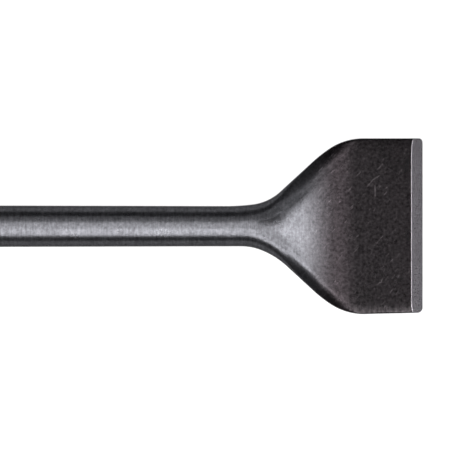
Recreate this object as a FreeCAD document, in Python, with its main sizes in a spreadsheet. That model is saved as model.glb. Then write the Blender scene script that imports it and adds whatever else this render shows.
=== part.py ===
import FreeCAD, Part
import Sketcher
import math
import os
from FreeCAD import Placement, Rotation, Vector

# Wide hammer chisel, forged from one round bar.
#
# Frame: +X runs along the tool from the centre of the shank's end face to the cutting edge,
# +Y is across the blade, +Z is up. The tool lies as it comes to rest: it leans on the underside
# of its bar, where the neck begins to flare, and the blade is level above the floor.

os.makedirs("parts", exist_ok=True)
doc = FreeCAD.newDocument("wide_chisel")

# Sizes in millimetres and degrees. A start along the head is its distance from the cutting
# edge. Upper is the side of the blade towards +Y, lower the side towards -Y. An angle of an
# outline is its heading, measured from the tool's axis.
SIZES = {
    "overall_length": 304.8,
    # Shank, held in the hammer
    "shank_diameter": 18.0,
    "shank_chamfer": 1.2,
    "parallel_length": 121.0,
    "slot_width": 5.0,
    "slot_depth": 2.7,
    "slot_length": 55.0,
    "slot_spread": 75.0,
    "groove_width": 8.0,
    "groove_depth": 2.6,
    "groove_start": 24.0,
    "groove_length": 34.0,
    "cutter_radius": 12.0,
    # Neck, where the round bar begins to flare
    "neck_diameter": 17.5,
    "flank_angle": 42.6,
    "upper_neck_start": 85.4,
    "upper_lead_radius": 97.0,
    "upper_lead_angle": 6.9,
    "upper_neck_radius": 21.7,
    "lower_neck_start": 78.5,
    "lower_lead_radius": 23.0,
    "lower_lead_angle": 20.0,
    "lower_neck_radius": 34.8,
    # Blade, seen from above
    "blade_width": 76.2,
    "shoulder_radius": 67.0,
    "shoulder_angle": 34.5,
    "easing_radius": 26.2,
    "lower_side_draft": 1.4,
    "upper_corner_radius": 1.7,
    "lower_corner_radius": 2.3,
    # Blade, seen from the side, where the bar is pressed flat
    "press_start": 74.8,
    "press_radius": 66.0,
    "press_angle": 13.0,
    "ease_radius": 82.0,
    "plate_thickness": 6.1,
    "plate_draft": 1.0,
    "crease_angle": 5.0,
    # Cutting edge, ground from both faces
    "bevel_angle": 24.5,
    "edge_land": 0.5,
}

SHANK_RADIUS = "sizes.shank_diameter / 2"
NECK_RADIUS = "sizes.neck_diameter / 2"
HALF_WIDTH = "sizes.blade_width / 2"
HALF_PLATE = "sizes.plate_thickness / 2"
HALF_LAND = "sizes.edge_land / 2"
EDGE = "sizes.overall_length"

# Cross sections along the head, from the neck to the cutting edge
STATION_COUNT = 21

# How an outline's bend turns, and the straight stretch between its bends
OPENS = 1
CLOSES = -1
FLANK = None

# Less change than this in a volume, in cubic millimetres, means that a feature did nothing
LEAST_CHANGE = 0.001

sheet = doc.addObject("Spreadsheet::Sheet", "sizes")
for row, (alias, size) in enumerate(SIZES.items(), start=1):
    sheet.set(f"A{row}", alias)
    sheet.set(f"B{row}", str(size))
    sheet.setAlias(f"B{row}", alias)

# Places and lengths that follow from the sizes
layout = doc.addObject("App::VarSet", "layout")
doc.recompute()


def derive(name, formula):
    """Keeps a formula in the layout under a name and returns the text that reads it."""
    layout.addProperty("App::PropertyFloat", name)
    layout.setExpression(name, formula)
    layout.recompute()
    return f"layout.{name}"


def worth(formula):
    """The value of a formula at the present sizes."""
    result = layout.evalExpression(formula)
    return float(getattr(result, "Value", result))


def outline(name, first, last, start, stretches, draft):
    """Gives the head's reach from its axis as a formula, with PLACE for the place along X.

    The outline leaves the bar's radius, first, at start, and comes to last. A bend is its
    turn, radius and the heading after it. The straight flank keeps the heading before it, and
    is as long as it takes to come to last. From there the outline draws in by draft.
    """
    widens = 1 if worth(last) > worth(first) else -1
    heading = "0"
    flank_heading = "0"
    flank_rise = f"abs({last} - {first})"
    for stretch in stretches:
        if stretch is FLANK:
            flank_heading = heading
        else:
            turn, radius, after = stretch
            flank_rise += f" - {radius} * abs(cos({heading}) - cos({after}))"
            heading = after
    flank = derive(f"{name}_flank", f"({flank_rise}) / tan({flank_heading})")

    heading = "0"
    place = derive(f"{name}_start", start)
    rises = []
    for count, stretch in enumerate(stretches, start=1):
        if stretch is FLANK:
            run = flank
            rises.append(f"tan({heading}) * max(0; min({run}; PLACE - {place}))")
        else:
            turn, radius, after = stretch
            run = derive(f"{name}_run_{count}", f"{radius} * abs(sin({after}) - sin({heading}))")
            aside = f"({radius} * sin({heading}) + {turn} * max(0; min({run}; PLACE - {place})))"
            rises.append(f"{turn} * ({radius} * cos({heading}) - sqrt({radius}^2 - {aside}^2))")
            heading = after
        place = derive(f"{name}_place_{count}", f"{place} + {run}")
    draws_in = f"tan({draft}) * max(0; PLACE - {place})"
    return f"{first} + {widens} * ({' + '.join(rises)}) - {draws_in}"


def new_sketch(body, name, role):
    """A sketch on one of the body's own origin planes."""
    sketch = body.newObject("Sketcher::SketchObject", name)
    support = next(item for item in body.Origin.OriginFeatures if item.Role == role)
    sketch.AttachmentSupport = [(support, "")]
    sketch.MapMode = "FlatFace"
    return sketch


def dimension(sketch, name, kind, *ends, formula):
    """A driving dimension that follows a formula."""
    index = sketch.addConstraint(Sketcher.Constraint(kind, *ends, worth(formula)))
    sketch.renameConstraint(index, name)
    sketch.setExpression(f"Constraints.{name}", formula)


def place_point(sketch, name, edge, end, along, out):
    """Holds an end of an edge at its place, given by two formulas."""
    dimension(sketch, f"{name}_along", "DistanceX", -1, 1, edge, end, formula=along)
    dimension(sketch, f"{name}_out", "DistanceY", -1, 1, edge, end, formula=out)


def draw_corners(sketch, corners):
    """A closed outline of straight edges through named corners, each with two formulas."""
    points = [Vector(worth(along), worth(out), 0) for along, out in corners.values()]
    first = sketch.GeometryCount
    last = first + len(points) - 1
    for point, following in zip(points, points[1:] + points[:1]):
        sketch.addGeometry(Part.LineSegment(point, following))
    for edge in range(first, last + 1):
        following = first if edge == last else edge + 1
        sketch.addConstraint(Sketcher.Constraint("Coincident", edge, 2, following, 1))
    for edge, (name, (along, out)) in enumerate(corners.items(), start=first):
        place_point(sketch, name, edge, 1, along, out)


def arc_about(centre, radius, begin, end):
    """A circular arc, anticlockwise between two angles in degrees."""
    circle = Part.Circle(centre, Vector(0, 0, 1), radius)
    return Part.ArcOfCircle(circle, math.radians(begin), math.radians(end))


def finish_feature(feature):
    """Recomputes and makes sure that the feature left one sound solid and changed it."""
    before = feature.BaseFeature.Shape.Volume if feature.BaseFeature else 0.0
    doc.recompute()
    shape = feature.Shape
    if shape.isNull() or not shape.isValid() or len(shape.Solids) != 1:
        raise RuntimeError(f"{feature.Label} left no sound solid")
    if abs(shape.Volume - before) < LEAST_CHANGE:
        raise RuntimeError(f"{feature.Label} changed nothing")
    print(f"{feature.Label}: volume {before:.1f} to {shape.Volume:.1f}, {len(shape.Faces)} faces")


def cut(body, name, sketch, width):
    """Removes what a sketch outlines, to equal depths on both sides of its plane."""
    pocket = body.newObject("PartDesign::Pocket", name)
    pocket.Profile = sketch
    pocket.SideType = "Symmetric"
    pocket.setExpression("Length", width)
    finish_feature(pocket)


def turn_shaft(body, neck):
    """The round bar: chamfered end, parallel shank and slight taper to the neck."""
    profile = new_sketch(body, "shaft_profile", "XY_Plane")
    draw_corners(profile, {
        "end_centre": ("0", "0"),
        "end_rim": ("0", f"{SHANK_RADIUS} - sizes.shank_chamfer"),
        "chamfer_top": ("sizes.shank_chamfer", SHANK_RADIUS),
        "taper_start": ("sizes.parallel_length", SHANK_RADIUS),
        "neck_rim": (neck, NECK_RADIUS),
        "neck_centre": (neck, "0"),
    })
    shaft = body.newObject("PartDesign::Revolution", "shaft")
    shaft.Profile = profile
    shaft.ReferenceAxis = (profile, ["H_Axis"])
    shaft.Angle = 360.0
    finish_feature(shaft)


def draw_section(body, index, place, upper, lower, edge_radius):
    """A cross section of the head: two pressed flats joined by a round edge on each side.

    The first one is the bar's whole circle, divided where the flats of the next one begin.
    """
    section = new_sketch(body, f"section_{index}", "YZ_Plane")
    section.setExpression("AttachmentOffset.Base.z", place)
    radius = worth(edge_radius)
    upper_centre = Vector(worth(upper) - radius, 0, 0)
    lower_centre = Vector(radius - worth(lower), 0, 0)
    flat_end = 90 - worth("sizes.crease_angle")
    upper_edges = [
        arc_about(upper_centre, radius, -flat_end, 0),
        arc_about(upper_centre, radius, 0, flat_end),
    ]
    lower_edges = [
        arc_about(lower_centre, radius, 180 - flat_end, 180),
        arc_about(lower_centre, radius, 180, 180 + flat_end),
    ]
    if index == 0:
        top = arc_about(upper_centre, radius, flat_end, 180 - flat_end)
        bottom = arc_about(upper_centre, radius, 180 + flat_end, 360 - flat_end)
    else:
        top = Part.LineSegment(upper_edges[1].EndPoint, lower_edges[0].StartPoint)
        bottom = Part.LineSegment(lower_edges[1].EndPoint, upper_edges[0].StartPoint)
    section.addGeometry(upper_edges + [top] + lower_edges + [bottom])
    upper_under, upper_over, top, lower_over, lower_under, bottom = range(6)

    ring = [upper_under, upper_over, top, lower_over, lower_under, bottom]
    for edge, following in zip(ring, ring[1:] + ring[:1]):
        section.addConstraint(Sketcher.Constraint("Coincident", edge, 2, following, 1))
    for high, low in [(upper_over, upper_under), (lower_over, lower_under)]:
        section.addConstraint(Sketcher.Constraint("Coincident", high, 3, low, 3))
        section.addConstraint(Sketcher.Constraint("PointOnObject", high, 3, -1))
    section.addConstraint(Sketcher.Constraint("Equal", upper_over, lower_over))
    section.addConstraint(Sketcher.Constraint("Horizontal", top, 1, top, 2))
    section.addConstraint(Sketcher.Constraint("Horizontal", bottom, 1, bottom, 2))
    if index == 0:
        section.addConstraint(Sketcher.Constraint("Equal", upper_over, top))
        section.addConstraint(Sketcher.Constraint("Equal", upper_over, bottom))
    flat_height = f"({edge_radius}) * cos(sizes.crease_angle)"
    dimension(section, "edge_radius", "Radius", upper_over, formula=edge_radius)
    dimension(section, "top_height", "DistanceY", -1, 1, top, 1, formula=flat_height)
    dimension(section, "bottom_height", "DistanceY", -1, 1, bottom, 1, formula=f"-{flat_height}")
    dimension(section, "upper_reach", "DistanceX", -1, 1, upper_over, 1, formula=upper)
    dimension(section, "lower_reach", "DistanceX", -1, 1, lower_over, 2, formula=f"-({lower})")
    return section


def forge_head(body, neck, upper, lower, edge_radius):
    """The flared and flattened head, through cross sections at even distances."""
    sections = []
    for index in range(STATION_COUNT):
        share = index / (STATION_COUNT - 1)
        place = derive(f"station_{index}", f"{neck} + {share} * ({EDGE} - {neck})")
        reaches = [reach.replace("PLACE", place) for reach in (upper, lower, edge_radius)]
        sections.append(draw_section(body, index, place, *reaches))
    head = body.newObject("PartDesign::AdditiveLoft", "head")
    head.Profile = sections[0]
    head.Sections = sections[1:]
    finish_feature(head)


def grind_bevels(body):
    """Takes a wedge off both faces, which leaves a narrow land along the edge."""
    wedges = new_sketch(body, "bevel_wedges", "XZ_Plane")
    back = f"{EDGE} - sizes.plate_thickness / tan(sizes.bevel_angle)"
    for face, sign in [("top", ""), ("bottom", "-")]:
        outside = f"{sign}({HALF_LAND} + sizes.plate_thickness)"
        draw_corners(wedges, {
            f"{face}_edge": (EDGE, f"{sign}({HALF_LAND})"),
            f"{face}_outside": (EDGE, outside),
            f"{face}_back": (back, outside),
        })
    cut(body, "bevels", wedges, "2 * sizes.blade_width")


def round_corner(body, side, sign, reach):
    """Rounds the blade's corner at one end of the cutting edge, seen from above."""
    radius = f"sizes.{side}_corner_radius"
    tip_reach = derive(f"{side}_tip_reach", reach.replace("PLACE", EDGE))
    near = f"{EDGE} - {radius}"
    far = f"{EDGE} + {radius}"
    inside = f"{sign} * ({tip_reach} - {radius})"
    outside = f"{sign} * ({tip_reach} + {radius})"
    centre = Vector(worth(near), worth(inside), 0)
    rounding = arc_about(centre, worth(radius), *((0, 90) if sign > 0 else (270, 360)))
    at_tip, at_side = (1, 2) if sign > 0 else (2, 1)
    path = [
        centre + Vector(0, sign * worth(radius), 0),
        Vector(worth(near), worth(outside), 0),
        Vector(worth(far), worth(outside), 0),
        Vector(worth(far), worth(inside), 0),
        centre + Vector(worth(radius), 0, 0),
    ]
    sketch = new_sketch(body, f"{side}_corner", "XY_Plane")
    sketch.addGeometry([Part.LineSegment(a, b) for a, b in zip(path, path[1:])] + [rounding])
    beside, beyond, ahead, back, arc = range(5)
    for line, following in [(beside, beyond), (beyond, ahead), (ahead, back)]:
        sketch.addConstraint(Sketcher.Constraint("Coincident", line, 2, following, 1))
    sketch.addConstraint(Sketcher.Constraint("Coincident", back, 2, arc, at_tip))
    sketch.addConstraint(Sketcher.Constraint("Coincident", beside, 1, arc, at_side))
    for line, direction in [(beside, "Vertical"), (beyond, "Horizontal"), (ahead, "Vertical")]:
        sketch.addConstraint(Sketcher.Constraint(direction, line))
    sketch.addConstraint(Sketcher.Constraint("Horizontal", back))
    sketch.addConstraint(Sketcher.Constraint("Vertical", arc, 3, arc, at_side))
    sketch.addConstraint(Sketcher.Constraint("Horizontal", arc, 3, arc, at_tip))
    dimension(sketch, "radius", "Radius", arc, formula=radius)
    place_point(sketch, "centre", arc, 3, near, inside)
    place_point(sketch, "beyond", beyond, 2, far, outside)
    cut(body, f"{side}_corner_round", sketch, "2 * sizes.plate_thickness")


def mill(body, name, turn, begin, end, depth, width):
    """A straight groove along the shank, cut by a disc that runs out at both ends.

    turn is the groove's direction, an angle about the axis from +Y. begin and end are where
    its level floor begins and ends.
    """
    floor = f"({SHANK_RADIUS} - {depth})"
    radius = worth("sizes.cutter_radius")
    low = worth(floor)
    begin_centre = Vector(worth(begin), low + radius, 0)
    end_centre = Vector(worth(end), low + radius, 0)
    run_in = arc_about(begin_centre, radius, 180, 270)
    run_out = arc_about(end_centre, radius, 270, 360)
    sketch = new_sketch(body, f"{name}_path", "XY_Plane")
    sketch.AttachmentOffset = Placement(Vector(), Rotation(Vector(1, 0, 0), worth(turn)))
    sketch.setExpression("AttachmentOffset.Rotation.Angle", turn)
    sketch.addGeometry([
        Part.LineSegment(run_in.EndPoint, run_out.StartPoint),
        run_out,
        Part.LineSegment(run_out.EndPoint, run_in.StartPoint),
        run_in,
    ])
    level, last_arc, top, first_arc = range(4)
    sketch.addConstraint(Sketcher.Constraint("Tangent", level, 2, last_arc, 1))
    sketch.addConstraint(Sketcher.Constraint("Tangent", level, 1, first_arc, 2))
    sketch.addConstraint(Sketcher.Constraint("Coincident", last_arc, 2, top, 1))
    sketch.addConstraint(Sketcher.Constraint("Coincident", top, 2, first_arc, 1))
    sketch.addConstraint(Sketcher.Constraint("Horizontal", level))
    sketch.addConstraint(Sketcher.Constraint("Horizontal", last_arc, 3, last_arc, 2))
    sketch.addConstraint(Sketcher.Constraint("Horizontal", first_arc, 3, first_arc, 1))
    sketch.addConstraint(Sketcher.Constraint("Equal", last_arc, first_arc))
    dimension(sketch, "cutter_radius", "Radius", last_arc, formula="sizes.cutter_radius")
    place_point(sketch, "floor_begin", level, 1, begin, floor)
    dimension(sketch, "floor_end", "DistanceX", -1, 1, level, 2, formula=end)
    cut(body, name, sketch, width)


def mill_shank(body):
    """Three drive slots, open at the end face, and two closed locking grooves."""
    slot_run_out = derive(
        "slot_run_out", "sqrt(sizes.cutter_radius^2 - (sizes.cutter_radius - sizes.slot_depth)^2)"
    )
    groove_run_out = derive(
        "groove_run_out", "sqrt(sizes.cutter_radius^2 - (sizes.cutter_radius - sizes.groove_depth)^2)"
    )
    slot_turns = ["-90", "90 - sizes.slot_spread / 2", "90 + sizes.slot_spread / 2"]
    for count, turn in enumerate(slot_turns, start=1):
        mill(
            body, f"drive_slot_{count}", turn,
            "-sizes.cutter_radius", f"sizes.slot_length - {slot_run_out}",
            "sizes.slot_depth", "sizes.slot_width",
        )
    for count, turn in enumerate(["0", "180"], start=1):
        mill(
            body, f"locking_groove_{count}", turn,
            f"sizes.groove_start + {groove_run_out}",
            f"sizes.groove_start + sizes.groove_length - {groove_run_out}",
            "sizes.groove_depth", "sizes.groove_width",
        )


body = doc.addObject("PartDesign::Body", "chisel")
body.Label = "chisel"
neck = derive("neck", f"{EDGE} - max(sizes.upper_neck_start; sizes.lower_neck_start)")

upper_reach = outline(
    "upper", NECK_RADIUS, HALF_WIDTH, f"{EDGE} - sizes.upper_neck_start",
    [
        (OPENS, "sizes.upper_lead_radius", "sizes.upper_lead_angle"),
        (OPENS, "sizes.upper_neck_radius", "sizes.flank_angle"),
        FLANK,
        (CLOSES, "sizes.shoulder_radius", "sizes.shoulder_angle"),
        (CLOSES, "sizes.easing_radius", "0"),
    ],
    draft="0",
)
lower_reach = outline(
    "lower", NECK_RADIUS, HALF_WIDTH, f"{EDGE} - sizes.lower_neck_start",
    [
        (OPENS, "sizes.lower_lead_radius", "sizes.lower_lead_angle"),
        (OPENS, "sizes.lower_neck_radius", "sizes.flank_angle"),
        FLANK,
        (CLOSES, "sizes.shoulder_radius", "sizes.shoulder_angle"),
        (CLOSES, "sizes.easing_radius", "0"),
    ],
    draft="sizes.lower_side_draft",
)
edge_radius = outline(
    "press", NECK_RADIUS, HALF_PLATE, f"{EDGE} - sizes.press_start",
    [
        (OPENS, "sizes.press_radius", "sizes.press_angle"),
        FLANK,
        (CLOSES, "sizes.ease_radius", "sizes.plate_draft"),
    ],
    draft="sizes.plate_draft",
)

turn_shaft(body, neck)
forge_head(body, neck, upper_reach, lower_reach, edge_radius)
grind_bevels(body)
round_corner(body, "upper", 1, upper_reach)
round_corner(body, "lower", -1, lower_reach)
mill_shank(body)

for item in doc.Objects:
    if "Invalid" in item.State or "Error" in item.State:
        raise RuntimeError(f"{item.Label} failed: {item.State}")
shape = body.Shape
if shape.isNull() or not shape.isValid() or len(shape.Solids) != 1:
    raise RuntimeError(f"{body.Label} is not one sound solid")
box = shape.optimalBoundingBox(False, False)
print(f"{body.Label}: {box.XLength:.2f} x {box.YLength:.2f} x {box.ZLength:.2f}, low {box.ZMin:.3f}")
shape.exportStep(f"parts/{body.Label}.step")
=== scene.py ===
# %% [markdown]
# # A wide hammer chisel
# The real tool starts as a round steel bar. One end is machined to fit a hammer, the other is
# heated, pressed flat and wide, and ground to an edge. This lesson first works out the cross
# sections along the bar, then makes the two finishes, then the mesh, and last a plain studio.

import math

import bpy
import numpy as np
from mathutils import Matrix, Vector


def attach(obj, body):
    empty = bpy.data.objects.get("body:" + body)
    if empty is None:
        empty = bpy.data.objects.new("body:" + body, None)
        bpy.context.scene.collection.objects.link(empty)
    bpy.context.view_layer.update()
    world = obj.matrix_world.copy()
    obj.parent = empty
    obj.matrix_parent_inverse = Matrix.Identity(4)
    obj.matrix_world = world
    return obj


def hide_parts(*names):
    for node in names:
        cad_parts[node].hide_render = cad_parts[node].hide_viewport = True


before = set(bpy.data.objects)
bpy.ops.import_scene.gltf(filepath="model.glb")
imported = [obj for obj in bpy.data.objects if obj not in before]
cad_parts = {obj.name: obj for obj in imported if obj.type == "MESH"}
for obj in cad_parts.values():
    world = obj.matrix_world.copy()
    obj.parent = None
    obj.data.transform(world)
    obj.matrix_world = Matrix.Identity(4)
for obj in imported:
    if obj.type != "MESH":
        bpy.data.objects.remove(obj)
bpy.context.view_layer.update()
MM = 0.001

# %% [markdown]
# ## Sizes
# Every size has a name and is in millimetres or degrees, as on a workshop drawing. A start
# along the head is measured from the cutting edge, because that is where a smith measures from.

# %% Sizes of the tool
LENGTH = 304.8
SHANK_RADIUS = 9.0
SHANK_CHAMFER = 1.2
PARALLEL_LENGTH = 121.0
NECK_RADIUS = 8.75
HALF_WIDTH = 38.1
HALF_PLATE = 3.05
FLANK_ANGLE = 42.6
LOWER_DRAFT = 1.4
PLATE_DRAFT = 1.0
CREASE_ANGLE = 5.0
UPPER_CORNER = 1.7
LOWER_CORNER = 2.3
BEVEL_ANGLE = 24.5
HALF_LAND = 0.25
UPPER_START = LENGTH - 85.4
LOWER_START = LENGTH - 78.5
PRESS_START = LENGTH - 74.8
# A bend is its turn (1 into a slope, -1 back out of it), its radius and the heading it ends on
UPPER_NECK = [(1, 97.0, 6.9), (1, 21.7, FLANK_ANGLE)]
LOWER_NECK = [(1, 23.0, 20.0), (1, 34.8, FLANK_ANGLE)]
SHOULDER = [(-1, 67.0, 34.5), (-1, 26.2, 0.0)]
PRESS_IN = [(1, 66.0, 13.0)]
PRESS_OUT = [(-1, 82.0, PLATE_DRAFT)]
print(f"{LENGTH} mm long, {2 * HALF_WIDTH} mm wide, on an {2 * SHANK_RADIUS:.0f} mm shank")

# %% [markdown]
# ## The outline
# Seen from above, each side of the blade is a chain of bends with one straight flank. A bend's
# rise comes from its radius and the headings before and after it, so the flank is as long as it
# takes to reach the full width. The pressed thickness follows the same rule, only inwards.

# %% Follow a chain of bends and one straight flank
def outline(places, first, last, start, before, after, draft):
    """The reach from the axis at each place, in millimetres."""
    widens = 1 if last > first else -1
    bends = []
    heading = 0.0
    for turn, radius, angle in before + after:
        bends.append((turn, radius, heading, math.radians(angle)))
        heading = math.radians(angle)
    bend_rise = sum(radius * abs(math.cos(a) - math.cos(b)) for _, radius, a, b in bends)
    flank_heading = bends[len(before) - 1][3]
    flank = (abs(last - first) - bend_rise) / math.tan(flank_heading)
    reach = np.full(len(places), float(first))
    place = start
    for number, (turn, radius, a, b) in enumerate(bends):
        if number == len(before):
            reach += widens * math.tan(flank_heading) * np.clip(places - place, 0, flank)
            place += flank
        run = radius * abs(math.sin(b) - math.sin(a))
        aside = radius * math.sin(a) + turn * np.clip(places - place, 0, run)
        reach += widens * turn * (radius * math.cos(a) - np.sqrt(radius ** 2 - aside ** 2))
        place += run
    return reach - math.tan(math.radians(draft)) * np.clip(places - place, 0, None)


def reaches(places):
    """The upper reach, lower reach and edge radius at each place."""
    upper = outline(places, NECK_RADIUS, HALF_WIDTH, UPPER_START, UPPER_NECK, SHOULDER, 0.0)
    lower = outline(places, NECK_RADIUS, HALF_WIDTH, LOWER_START, LOWER_NECK, SHOULDER, LOWER_DRAFT)
    edge = outline(places, NECK_RADIUS, HALF_PLATE, PRESS_START, PRESS_IN, PRESS_OUT, PLATE_DRAFT)
    taper = (SHANK_RADIUS - NECK_RADIUS) * np.clip(
        (UPPER_START - places) / (UPPER_START - PARALLEL_LENGTH), 0, 1
    )
    chamfer = SHANK_CHAMFER - np.clip(places, 0, SHANK_CHAMFER)
    bar = taper - chamfer
    return upper + bar, lower + bar, edge + bar


for share in (0.0, 0.5, 0.8, 0.9, 1.0):
    spot = np.array([share * LENGTH])
    print(f"at {spot[0]:.1f} mm:", [round(float(value[0]), 2) for value in reaches(spot)])

# %% [markdown]
# ## Rows along the bar
# The mesh is a net of rows and columns. Rows lie close together where the shape changes fast,
# at the ends of the milled grooves, along the ground bevel and at the blade's rounded corners,
# and further apart on the plain shaft.

# %% Choose the rows
SLOT_DEPTH = 2.7
SLOT_HALF = 2.5
SLOT_END = 55.0
GROOVE_DEPTH = 2.6
GROOVE_HALF = 4.0
GROOVE_START = 24.0
GROOVE_END = 58.0
CUTTER = 12.0
# Where the shaft's wide rows begin and end, and how near the arris its narrow rows lie
SHAFT_ROWS = (60, 214)
ARRIS_ROWS = 0.8
SHANK_STEP = 0.75
SHAFT_STEP = 1.4
HEAD_STEP = 0.7
ARRIS_STEP = 0.1
BEVEL_STEP = 0.25
CORNER_STEP = 15
# The plate is measured this far from the edge, about where the bevel begins
BEVEL_ABOUT = 5.0


def run_out(depth):
    """How far a disc cutter travels while it leaves the metal."""
    return math.sqrt(CUTTER ** 2 - (CUTTER - depth) ** 2)


plate_at_edge = reaches(np.array([LENGTH - BEVEL_ABOUT]))[2][0] * math.cos(math.radians(CREASE_ANGLE))
BEVEL_START = LENGTH - (plate_at_edge - HALF_LAND) / math.tan(math.radians(BEVEL_ANGLE))
SLOT_FLOOR_END = SLOT_END - run_out(SLOT_DEPTH)
GROOVE_FLOOR = (GROOVE_START + run_out(GROOVE_DEPTH), GROOVE_END - run_out(GROOVE_DEPTH))
corner_rows = [
    LENGTH - radius * (1 - math.cos(math.radians(angle)))
    for radius in (UPPER_CORNER, LOWER_CORNER) for angle in range(0, 91, CORNER_STEP)
]
places = np.unique(np.round(np.concatenate([
    np.arange(SHANK_CHAMFER, SHAFT_ROWS[0], SHANK_STEP),
    [0, GROOVE_START, GROOVE_END, SLOT_END, SLOT_FLOOR_END, *GROOVE_FLOOR, PARALLEL_LENGTH],
    np.arange(*SHAFT_ROWS, SHAFT_STEP),
    np.arange(SHAFT_ROWS[1], BEVEL_START - ARRIS_ROWS, HEAD_STEP),
    np.arange(BEVEL_START - ARRIS_ROWS, BEVEL_START + ARRIS_ROWS, ARRIS_STEP),
    np.arange(BEVEL_START + ARRIS_ROWS, LENGTH, BEVEL_STEP),
    corner_rows,
]), 4))
print(f"{len(places)} rows, the bevel starts {LENGTH - BEVEL_START:.2f} mm from the edge")

# %% [markdown]
# ## What each row carries
# A row knows its reaches, how high the bevel lets the metal stand, how wide the rounded corners
# let it be, and how deep the milled slots and grooves are there. The arris between the flat and
# the bevel is a little rounded, as an edge is after handling, and catches the light for it.
#
# The flare's sides aren't round as the bar's are. Each has a thin rim, from which a slanting
# face climbs to the top and is rounded into it. Along the blade the rim is nearly as thick as
# the plate, and what is left of the face is a low shoulder. The slope between the two faces is
# a little crowned.

# %% Helpers for the rows
def soft_lower(a, b, width):
    """The lower of two heights, with the crossing rounded."""
    return 0.5 * (a + b - np.sqrt((a - b) ** 2 + width ** 2))


def milled_floor(depth, begin, end):
    """The height above the axis that a milled cut leaves at each row."""
    level = SHANK_RADIUS - depth
    beyond = np.maximum(np.maximum(begin - places, places - end), 0)
    climbs = level + CUTTER - np.sqrt(np.maximum(CUTTER ** 2 - beyond ** 2, 0))
    return np.where(beyond > run_out(depth), LENGTH, climbs)


def corner_limit(reach, radius):
    """How wide the rounded corner lets the blade be at each row."""
    ahead = np.clip(places - (LENGTH - radius), 0, radius)
    limit = reach[-1] - radius + np.sqrt(radius ** 2 - ahead ** 2)
    return np.where(places > LENGTH - radius, limit, LENGTH)


def ease(begin, end):
    """Rises softly from 0 to 1 between two places along the bar."""
    share = np.clip((places - begin) / (end - begin), 0, 1)
    return share ** 2 * (3 - 2 * share)


def between(first, last, share):
    """Goes from a first value to a last one."""
    return first + (last - first) * share


def square_to(reach):
    """How much longer a slanting side makes a distance that is measured across the tool."""
    return np.sqrt(1 + np.gradient(reach, places) ** 2)


groove_floor = milled_floor(GROOVE_DEPTH, *GROOVE_FLOOR)
print(f"a milled groove goes down to {groove_floor.min():.2f} mm from the axis")

# %% Work out the rows' values
ARRIS = 0.05
# Places along the bar between which a form comes or goes
ON_FLARE = (224, 256)
FACE_WIDENS = (242, 261)
TO_BLADE = (262, 277)
CROWN_RISES = (230, 246)
CROWN_FALLS = (256, 278)
# Where grinding may begin, where the columns start to gather, and how soon the flat top is there
GROUND_FROM = 260
HEAD_COLUMNS_FROM = 150
FLAT_OVER = 4.3
# The forge's unevenness grows past the machined shank and fades just before the bevel
RELIEF_FROM = 60
RELIEF_OVER = 30
RELIEF_STOPS_BEFORE = 0.5
RELIEF_FADES_OVER = 1.5
# Shares of the edge radius: the rim's height on flare and blade, and the width of a blade side
FLARE_RIM = 0.16
BLADE_RIM = 0.88
BLADE_SIDE = 0.3
# The face climbs this much for each millimetre inward, times each side's own factor, which goes
# from its first value to its second where the face widens
FLARE_RISE = 0.9
BLADE_RISE = 0.16
UPPER_FACTOR = (0.78, 0.62)
LOWER_FACTOR = (0.9, 0.77)
# How far the slanting face is rounded into the top, in millimetres
FLARE_BLEND = 3.0
BLADE_BLEND = 0.6
# The share of the height that the crown takes away toward the sides
CROWN = 0.10

upper, lower, edge = reaches(places)
on_flare = ease(*ON_FLARE)
face_widens = ease(*FACE_WIDENS)
to_blade = ease(*TO_BLADE)
side_width = edge * between(1.0, BLADE_SIDE, to_blade)
face_rise = between(FLARE_RISE, BLADE_RISE, to_blade)
flat = edge * math.cos(math.radians(CREASE_ANGLE))
bevel = HALF_LAND + (LENGTH - places) * math.tan(math.radians(BEVEL_ANGLE))
may_be_ground = places > GROUND_FROM
to_bevel = (BEVEL_START - RELIEF_STOPS_BEFORE - places) / RELIEF_FADES_OVER
rows = {
    "place": places,
    "upper": upper,
    "lower": lower,
    "edge": edge,
    "upper_side": side_width * square_to(upper),
    "lower_side": side_width * square_to(lower),
    "upper_rise": between(*UPPER_FACTOR, face_widens) * face_rise / square_to(upper),
    "lower_rise": between(*LOWER_FACTOR, face_widens) * face_rise / square_to(lower),
    "rim": edge * (between(1.0, FLARE_RIM, on_flare) + (BLADE_RIM - FLARE_RIM) * to_blade),
    "blend": FLARE_BLEND * on_flare + (BLADE_BLEND - FLARE_BLEND) * to_blade,
    "crown": CROWN * ease(*CROWN_RISES) * (1 - ease(*CROWN_FALLS)),
    "bevel": np.where(may_be_ground, bevel, LENGTH),
    "lid": np.where(may_be_ground, soft_lower(bevel, flat, ARRIS), LENGTH),
    "upper_limit": corner_limit(upper, UPPER_CORNER),
    "lower_limit": corner_limit(lower, LOWER_CORNER),
    "slot_floor": milled_floor(SLOT_DEPTH, -CUTTER, SLOT_FLOOR_END),
    "groove_floor": groove_floor,
    "round": np.clip((places - UPPER_START) / FLAT_OVER, 0, 1),
    "spread": np.clip((places - HEAD_COLUMNS_FROM) / (UPPER_START - HEAD_COLUMNS_FROM), 0, 1),
    "forged": np.clip((places - RELIEF_FROM) / RELIEF_OVER, 0, 1) * np.clip(to_bevel, 0, 1),
    "end_share": np.ones(len(places)),
}
print(f"a row carries {len(rows)} values")

# %% [markdown]
# ## Close the ends
# A bar's end is a flat face. Copies of the end row, drawn in step by step to a point in its
# middle, fill that face and leave no hole. The cutting edge is only half a millimetre thick, so
# there one copy, drawn in at once, is enough.

# %% Add the rows that close the ends
SHANK_RINGS = (0.66, 0.33, 0.0)
EDGE_RINGS = (0.0,)


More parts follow.
